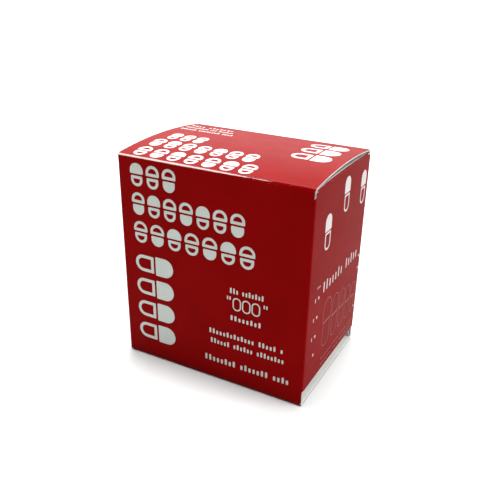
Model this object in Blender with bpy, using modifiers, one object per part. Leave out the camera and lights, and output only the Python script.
"""A boxed hand-operated capsule filler: a folding carton with the packed filler inside it.

The carton is one creased board blank, modelled as a sleeve plus the hinged panels and flaps of its two
tuck closures. Both closures fold on the front panel and tuck in behind the back panel. Inside, from the
bottom up, lie the filling stand, the body block (with its sprung lift plate), the tamper nested in the
body block, and the cap block with its sprung ejector. A spreader card and a leaflet stand beside them.

Frame: millimetre sizes scaled to metres, +Z up, the front panel faces -Y, and the origin is at the
centre of the carton's base.
"""

import math

import bmesh
import bpy
from mathutils import Matrix, Vector

MM = 0.001
GAP = 0.3 * MM  # clearance between neighbouring pieces

# Carton
CARTON_W = 98.5 * MM
CARTON_D = 69.5 * MM
CARTON_H = 106.0 * MM  # table to the lid's front fold
BOARD = 0.6 * MM
LID_CROWN = 2.3 * MM  # how far the closed lid bows up at mid depth
SIDE_FOOT = 7.0 * MM  # the side panels stop this far above the table
TUCK = 15.0 * MM
TUCK_LEAN = math.radians(10)
FLAP_LENGTH = 33.0 * MM
FLAP_SLOPE = math.radians(10)
FLAP_TAPER = 0.25  # the dust flaps' front edges run back by this much per unit of length
FLAP_BACK = 30.0 * MM  # the dust flaps end here, ahead of the tuck flap
SEAM_W = 15.0 * MM  # glued side seam inside the left panel

# Filler
HOLES_X, HOLES_Y = 6, 4
PITCH_X, PITCH_Y = 14.6 * MM, 14.0 * MM
BODY_HOLE_R = 4.95 * MM
CAP_HOLE_R = 5.05 * MM
PEG_R = 4.2 * MM
PIN_R = 3.4 * MM
BLOCK_W, BLOCK_D = 93.0 * MM, 63.0 * MM
BLOCK_Y = -1.3 * MM  # the stack sits ahead of centre, clear of the tuck flaps
WALL = 2.2 * MM
SCREW_X, SCREW_Y = 41.0 * MM, 26.0 * MM
SCREW_R = 1.1 * MM
SCREW_HOLE_R = 1.4 * MM
HEAD_R = 2.3 * MM
SPRING_R = 2.2 * MM
SPRING_WIRE_R = 0.35 * MM
SPRING_TURNS = 3.5

STAND_Z = 7.2 * MM
STAND_H = 10.0 * MM
BODY_Z = STAND_Z + STAND_H + GAP
BODY_H = 33.0 * MM
BODY_PLATE = 3.0 * MM
BODY_TOP = BODY_Z + BODY_H
COVER_Z = BODY_Z + 1.6 * MM
COVER_H = 2.0 * MM
LIFT_TRAVEL = 3.5 * MM
CAPSULE_BODY = 22.2 * MM
LIFT_TOP = BODY_TOP - CAPSULE_BODY + LIFT_TRAVEL
LIFT_H = 2.5 * MM
TAMPER_H = 3.0 * MM
PEG_H = 12.0 * MM
TAMPER_TOP = BODY_TOP + GAP + TAMPER_H
CAP_Z = TAMPER_TOP + GAP
CAP_PLATE = 10.0 * MM
CAP_BLOCK_H = 26.0 * MM
EJECT_TRAVEL = 7.0 * MM
EJECT_GAP = 11.6 * MM  # cap plate to ejector plate, at rest
EJECT_H = 2.5 * MM
EJECT_Z = CAP_Z + CAP_PLATE + EJECT_GAP

CORNERS = {
    "front_left": (-1, -1),
    "front_right": (1, -1),
    "rear_left": (-1, 1),
    "rear_right": (1, 1),
}


def clear_scene():
    """Remove every object of the start-up scene."""
    for obj in list(bpy.data.objects):
        bpy.data.objects.remove(obj, do_unlink=True)


def new_collection(name, helper=False):
    """A collection in the scene. A helper's objects aren't rendered."""
    collection = bpy.data.collections.new(name)
    collection.hide_render = helper
    bpy.context.scene.collection.children.link(collection)
    return collection


def new_material(name, color, roughness, metallic=0.0):
    """A plain Principled material."""
    material = bpy.data.materials.new(name)
    material.use_nodes = True
    shader = material.node_tree.nodes["Principled BSDF"]
    shader.inputs["Base Color"].default_value = (*color, 1.0)
    shader.inputs["Roughness"].default_value = roughness
    shader.inputs["Metallic"].default_value = metallic
    return material


clear_scene()
PARTS = new_collection("boxed_capsule_filler")
CUTTERS = new_collection("cutters", helper=True)
RED_BOARD = new_material("red_board", (0.45, 0.008, 0.008), 0.42)
WHITE_PLASTIC = new_material("white_plastic", (0.82, 0.82, 0.80), 0.35)
BLUE_PLASTIC = new_material("blue_plastic", (0.10, 0.22, 0.50), 0.35)
STEEL = new_material("steel", (0.62, 0.62, 0.64), 0.25, 1.0)
PAPER = new_material("paper", (0.88, 0.87, 0.84), 0.8)
CARD = new_material("card", (0.75, 0.75, 0.72), 0.5)


def add_object(name, data, material, location=(0, 0, 0), rotation=(0, 0, 0), parent=None):
    """Put data in the parts collection under name."""
    obj = bpy.data.objects.new(name, data)
    data.materials.append(material)
    obj.location = location
    obj.rotation_euler = rotation
    obj.parent = parent
    PARTS.objects.link(obj)
    return obj


def axis_empty(name, location, rotation=(0, 0, 0)):
    """An empty on a crease, for the panel that turns about it."""
    empty = bpy.data.objects.new(name, None)
    empty.empty_display_size = 0.01
    empty.location = location
    empty.rotation_euler = rotation
    PARTS.objects.link(empty)
    return empty


def box_mesh(name, low, high):
    """A mesh box between two corners."""
    mesh = bmesh.new()
    bmesh.ops.create_cube(mesh, size=1.0)
    low, high = Vector(low), Vector(high)
    bmesh.ops.scale(mesh, vec=high - low, verts=mesh.verts)
    bmesh.ops.translate(mesh, vec=(high + low) / 2, verts=mesh.verts)
    data = bpy.data.meshes.new(name)
    mesh.to_mesh(data)
    mesh.free()
    return data


def rods_mesh(name, centres, radius, bottom, top, sides):
    """A mesh of upright cylinders, one at each (x, y) of centres."""
    mesh = bmesh.new()
    for x, y in centres:
        rod = bmesh.ops.create_cone(
            mesh, cap_ends=True, segments=sides, radius1=radius, radius2=radius, depth=top - bottom
        )
        half_side = Matrix.Rotation(math.pi / sides, 3, "Z")
        bmesh.ops.rotate(mesh, verts=rod["verts"], matrix=half_side, cent=(0, 0, 0))
        bmesh.ops.translate(mesh, vec=(x, y, (top + bottom) / 2), verts=rod["verts"])
    data = bpy.data.meshes.new(name)
    mesh.to_mesh(data)
    mesh.free()
    return data


def combine(obj, operation, data):
    """Cut data from obj, or join it to obj, with a Boolean modifier."""
    tool = bpy.data.objects.new(f"{obj.name}_{data.name}", data)
    tool.display_type = "WIRE"
    tool.hide_render = True
    CUTTERS.objects.link(tool)
    modifier = obj.modifiers.new(data.name, "BOOLEAN")
    modifier.operation = operation
    modifier.object = tool
    modifier.solver = "EXACT"


def rounded(points, radius, steps=4):
    """The closed outline with each corner replaced by an arc of the radius."""
    outline = []
    for i, corner in enumerate(points):
        corner = Vector(corner)
        before = (Vector(points[i - 1]) - corner).normalized()
        after = (Vector(points[(i + 1) % len(points)]) - corner).normalized()
        half = before.angle(after) / 2
        reach = radius / math.tan(half)
        centre = corner + (before + after).normalized() * (radius / math.sin(half))
        start, end = corner + before * reach - centre, corner + after * reach - centre
        for step in range(steps + 1):
            arm = start.lerp(end, step / steps).normalized() * radius
            outline.append(tuple(centre + arm))
    return outline


def board(name, outline, offset, thickness, material, parent):
    """A flat sheet with the outline, in its parent's XY plane, from offset to offset + thickness."""
    area = sum(a[0] * b[1] - b[0] * a[1] for a, b in zip(outline, outline[1:] + outline[:1]))
    points = outline if area > 0 else outline[::-1]
    curve = bpy.data.curves.new(name, "CURVE")
    curve.dimensions = "2D"
    curve.fill_mode = "BOTH"
    curve.extrude = thickness / 2
    spline = curve.splines.new("POLY")
    spline.points.add(len(points) - 1)
    for point, (x, y) in zip(spline.points, points):
        point.co = (x, y, 0, 1)
    spline.use_cyclic_u = True
    return add_object(name, curve, material, (0, 0, offset + thickness / 2), parent=parent)


def carton_sleeve():
    """The four walls and the glued seam, cut back where the closures' panels fold over them."""
    half_w, half_d = CARTON_W / 2, CARTON_D / 2
    over = 5 * MM
    low = BOARD + GAP
    sleeve = add_object(
        "carton_sleeve",
        box_mesh("sleeve", (-half_w, -half_d, 0), (half_w, half_d, CARTON_H)),
        RED_BOARD,
    )
    inner_w, inner_d = half_w - BOARD, half_d - BOARD
    combine(
        sleeve,
        "DIFFERENCE",
        box_mesh("inside", (-inner_w, -inner_d, -over), (inner_w, inner_d, CARTON_H + over)),
    )
    for name, bottom, top in (("low", -over, low), ("high", CARTON_H - low, CARTON_H + over)):
        combine(
            sleeve,
            "DIFFERENCE",
            box_mesh(
                f"front_{name}", (-half_w - over, -half_d - over, bottom), (half_w + over, 0, top)
            ),
        )
    side_low, side_high = SIDE_FOOT + BOARD, CARTON_H - 3 * BOARD
    for name, bottom, top in (("low", -over, side_low), ("high", side_high, CARTON_H + over)):
        combine(
            sleeve,
            "DIFFERENCE",
            box_mesh(f"side_{name}", (-half_w - over, -inner_d, bottom), (half_w + over, inner_d, top)),
        )
    combine(
        sleeve,
        "UNION",
        box_mesh(
            "seam",
            (-half_w + BOARD / 2, inner_d - SEAM_W, 12 * MM),
            (-inner_w + BOARD, half_d - BOARD / 2, CARTON_H - 12 * MM),
        ),
    )


def tuck_flap(name, at_top):
    """The flap on a closure's rear edge, leaning in from the back panel."""
    sign = 1 if at_top else -1
    crease_z = CARTON_H - BOARD if at_top else BOARD
    crease = axis_empty(
        f"{name}_crease",
        (0, CARTON_D / 2 - BOARD - GAP, crease_z),
        (-sign * (math.pi / 2 + TUCK_LEAN), 0, 0),
    )
    wide, narrow = CARTON_W / 2 - BOARD - 0.7 * MM, CARTON_W / 2 - BOARD - 1.7 * MM
    corner = 5 * MM
    outline = [(-wide, GAP), (wide, GAP)]
    for side, first in ((1, 0), (-1, 90)):
        for turn in range(first, first + 91, 18):
            a = math.radians(turn)
            x = side * (narrow - corner) + corner * math.cos(a)
            outline.append((x, TUCK - corner + corner * math.sin(a)))
    board(name, outline, -BOARD if at_top else 0, BOARD, RED_BOARD, crease)


def dust_flap(name, side, at_top):
    """A side flap that slopes down into the carton under a closure. side is -1 for left, 1 for right."""
    crease_z = CARTON_H - 2.5 * BOARD if at_top else SIDE_FOOT + GAP
    crease = axis_empty(
        f"{name}_crease",
        (side * CARTON_W / 2, 0, crease_z),
        (-FLAP_SLOPE, 0, side * math.pi / 2),
    )
    front = -CARTON_D / 2 + BOARD + 1.0 * MM
    start = 0.2 * MM
    outline = [
        (side * (front + FLAP_TAPER * start), start),
        (side * FLAP_BACK, start),
        (side * FLAP_BACK, FLAP_LENGTH),
        (side * (front + FLAP_TAPER * FLAP_LENGTH), FLAP_LENGTH),
    ]
    board(
        name,
        rounded(outline, 0.4 * MM, steps=2),
        0 if at_top else -BOARD,
        BOARD,
        RED_BOARD,
        crease,
    )


def lid_panel():
    """The top panel, bowed up between its front fold and its tuck fold."""
    crease = axis_empty(
        "lid_panel_crease",
        (0, -CARTON_D / 2, CARTON_H - BOARD),
        (math.pi / 2, 0, math.pi / 2),
    )
    start, end = 0.1 * MM, CARTON_D - BOARD - 2 * GAP
    half = (end - start) / 2
    radius = (half**2 + LID_CROWN**2) / (2 * LID_CROWN)
    steps = 12
    bow = []
    for i in range(steps + 1):
        y = -half + 2 * half * i / steps
        bow.append((start + half + y, math.sqrt(radius**2 - y**2) - (radius - LID_CROWN)))
    outline = bow + [(y, z + BOARD) for y, z in reversed(bow)]
    width = CARTON_W - 0.4 * MM
    board("lid_panel", outline, -width / 2, width, RED_BOARD, crease)


def closure_panel():
    """The flat bottom panel, which the carton stands on."""
    crease = axis_empty("closure_panel_crease", (0, -CARTON_D / 2, BOARD))
    half = CARTON_W / 2 - 0.2 * MM
    start, end = 0.1 * MM, CARTON_D - BOARD - 2 * GAP
    outline = [(-half, start), (half, start), (half, end), (-half, end)]
    board("closure_panel", outline, -BOARD, BOARD, RED_BOARD, crease)


def hole_centres():
    """The (x, y) centres of the block's grid of capsule holes."""
    return [
        (
            (i - (HOLES_X - 1) / 2) * PITCH_X,
            BLOCK_Y + (j - (HOLES_Y - 1) / 2) * PITCH_Y,
        )
        for i in range(HOLES_X)
        for j in range(HOLES_Y)
    ]


def screw_centres():
    """The (x, y) centres of the four corner screws, by corner name."""
    return {name: (x * SCREW_X, BLOCK_Y + y * SCREW_Y) for name, (x, y) in CORNERS.items()}


def block_box(name, inset, bottom, top):
    """A box with the block's outline, moved in by inset."""
    half_w, half_d = BLOCK_W / 2 - inset, BLOCK_D / 2 - inset
    return box_mesh(
        name, (-half_w, BLOCK_Y - half_d, bottom), (half_w, BLOCK_Y + half_d, top)
    )


def filling_stand():
    """The open ring that the body block stands on."""
    stand = add_object(
        "filling_stand", block_box("stand", 0, STAND_Z, STAND_Z + STAND_H), BLUE_PLASTIC
    )
    combine(stand, "DIFFERENCE", block_box("window", 8 * MM, STAND_Z - MM, STAND_Z + STAND_H + MM))


def body_block():
    """The lower block: a skirt and a top plate with the capsule holes."""
    block = add_object("body_block", block_box("body", 0, BODY_Z, BODY_TOP), WHITE_PLASTIC)
    under_plate = BODY_TOP - BODY_PLATE
    combine(block, "DIFFERENCE", block_box("cavity", WALL, BODY_Z - MM, under_plate))
    holes = rods_mesh("holes", hole_centres(), BODY_HOLE_R, under_plate - MM, BODY_TOP + MM, 12)
    combine(block, "DIFFERENCE", holes)
    bores = rods_mesh(
        "bores", screw_centres().values(), SCREW_HOLE_R, under_plate - MM, BODY_TOP - MM, 8
    )
    combine(block, "DIFFERENCE", bores)


def skirt_plate(name, bottom, top, material):
    """A plate that fits inside a block's skirt, with clearance holes for the corner screws."""
    plate = add_object(name, block_box("plate", WALL + 0.4 * MM, bottom, top), material)
    holes = rods_mesh("holes", screw_centres().values(), SCREW_HOLE_R, bottom - MM, top + MM, 8)
    combine(plate, "DIFFERENCE", holes)
    return plate


def corner_screw(name, centre, head_z, head_h, tip_z):
    """A shouldered screw standing on the head's outer face. The head is below the tip or above it."""
    down = tip_z < head_z
    head_end = head_z + (head_h if down else -head_h)
    profile = [
        (0, tip_z),
        (SCREW_R, tip_z),
        (SCREW_R, head_z),
        (HEAD_R, head_z),
        (HEAD_R, head_end),
        (0, head_end),
    ]
    if down:
        profile.reverse()
    mesh = bpy.data.meshes.new(name)
    edges = [(i, i + 1) for i in range(len(profile) - 1)]
    mesh.from_pydata([(r, 0, z - head_z) for r, z in profile], edges, [])
    screw = add_object(name, mesh, STEEL, (*centre, head_z))
    spin = screw.modifiers.new("turn", "SCREW")
    spin.steps = spin.render_steps = 10
    spin.use_merge_vertices = True
    spin.merge_threshold = 0.00001
    return screw


def coil_spring(name, centre, bottom, top):
    """A compression spring round a screw."""
    curve = bpy.data.curves.new(name, "CURVE")
    curve.dimensions = "3D"
    curve.bevel_depth = SPRING_WIRE_R
    curve.bevel_resolution = 2
    curve.use_fill_caps = True
    count = round(SPRING_TURNS * 8)
    spline = curve.splines.new("POLY")
    spline.points.add(count)
    span = top - bottom - 2 * SPRING_WIRE_R - 0.3 * MM
    for i, point in enumerate(spline.points):
        angle = 2 * math.pi * SPRING_TURNS * i / count
        x, y = SPRING_R * math.cos(angle), SPRING_R * math.sin(angle)
        point.co = (x, y, SPRING_WIRE_R + 0.15 * MM + span * i / count, 1)
    return add_object(name, curve, STEEL, (*centre, bottom))


def body_group():
    """The body block's cover, sprung lift plate, springs and screws."""
    skirt_plate("body_cover", COVER_Z, COVER_Z + COVER_H, WHITE_PLASTIC)
    skirt_plate("lift_plate", LIFT_TOP - LIFT_H, LIFT_TOP, WHITE_PLASTIC)
    for corner, centre in screw_centres().items():
        corner_screw(
            f"lift_screw_{corner}", centre, COVER_Z - 0.1 * MM, 1.3 * MM, BODY_TOP - 1.3 * MM
        )
        coil_spring(
            f"lift_spring_{corner}", centre, COVER_Z + COVER_H + 0.1 * MM, LIFT_TOP - LIFT_H - 0.1 * MM
        )


def tamper():
    """The tamping tool: a plate with a peg for each hole of the body block."""
    bottom = TAMPER_TOP - TAMPER_H
    tool = add_object("tamper", block_box("plate", 1.5 * MM, bottom, TAMPER_TOP), BLUE_PLASTIC)
    pegs = rods_mesh("pegs", hole_centres(), PEG_R, bottom - PEG_H, bottom + MM, 12)
    combine(tool, "UNION", pegs)


def cap_block():
    """The upper block: a thick plate with the cap holes, and a skirt round the ejector."""
    plate_top = CAP_Z + CAP_PLATE
    block = add_object("cap_block", block_box("cap", 0, CAP_Z, CAP_Z + CAP_BLOCK_H), WHITE_PLASTIC)
    combine(block, "DIFFERENCE", block_box("cavity", WALL, plate_top, CAP_Z + CAP_BLOCK_H + MM))
    holes = rods_mesh("holes", hole_centres(), CAP_HOLE_R, CAP_Z - MM, plate_top + MM, 12)
    combine(block, "DIFFERENCE", holes)
    bores = rods_mesh(
        "bores", screw_centres().values(), SCREW_HOLE_R, plate_top - 5 * MM, plate_top + MM, 8
    )
    combine(block, "DIFFERENCE", bores)


def ejector_group():
    """The cap block's ejector plate with its pins, springs and screws."""
    plate = skirt_plate("ejector_plate", EJECT_Z, EJECT_Z + EJECT_H, BLUE_PLASTIC)
    pin_bottom = CAP_Z + CAP_PLATE + GAP
    pins = rods_mesh("pins", hole_centres(), PIN_R, pin_bottom, EJECT_Z + MM, 10)
    combine(plate, "UNION", pins)
    for corner, centre in screw_centres().items():
        corner_screw(
            f"eject_screw_{corner}",
            centre,
            EJECT_Z + EJECT_H + GAP,
            1.6 * MM,
            CAP_Z + CAP_PLATE - 4.5 * MM,
        )
        coil_spring(
            f"eject_spring_{corner}", centre, CAP_Z + CAP_PLATE + 0.1 * MM, EJECT_Z - 0.1 * MM
        )


def printed_inserts():
    """The leaflet at the back of the stack and the spreader card at its front."""
    back = BLOCK_Y + BLOCK_D / 2 + 0.5 * MM
    add_object(
        "leaflet",
        box_mesh("leaflet", (-45 * MM, back, 17 * MM), (45 * MM, back + 1.2 * MM, 87 * MM)),
        PAPER,
    )
    front = -CARTON_D / 2 + BOARD + 0.4 * MM
    add_object(
        "spreader_card",
        box_mesh("card", (-42.5 * MM, front, 1.0 * MM), (42.5 * MM, front + 0.5 * MM, 55 * MM)),
        CARD,
    )


def main():
    """Build the carton, then the filler packed in it."""
    carton_sleeve()
    lid_panel()
    closure_panel()
    for name, at_top in (("lid", True), ("closure", False)):
        tuck_flap(f"{name}_tuck_flap", at_top)
        dust_flap(f"{name}_dust_flap_left", -1, at_top)
        dust_flap(f"{name}_dust_flap_right", 1, at_top)
    filling_stand()
    body_block()
    body_group()
    tamper()
    cap_block()
    ejector_group()
    printed_inserts()


main()
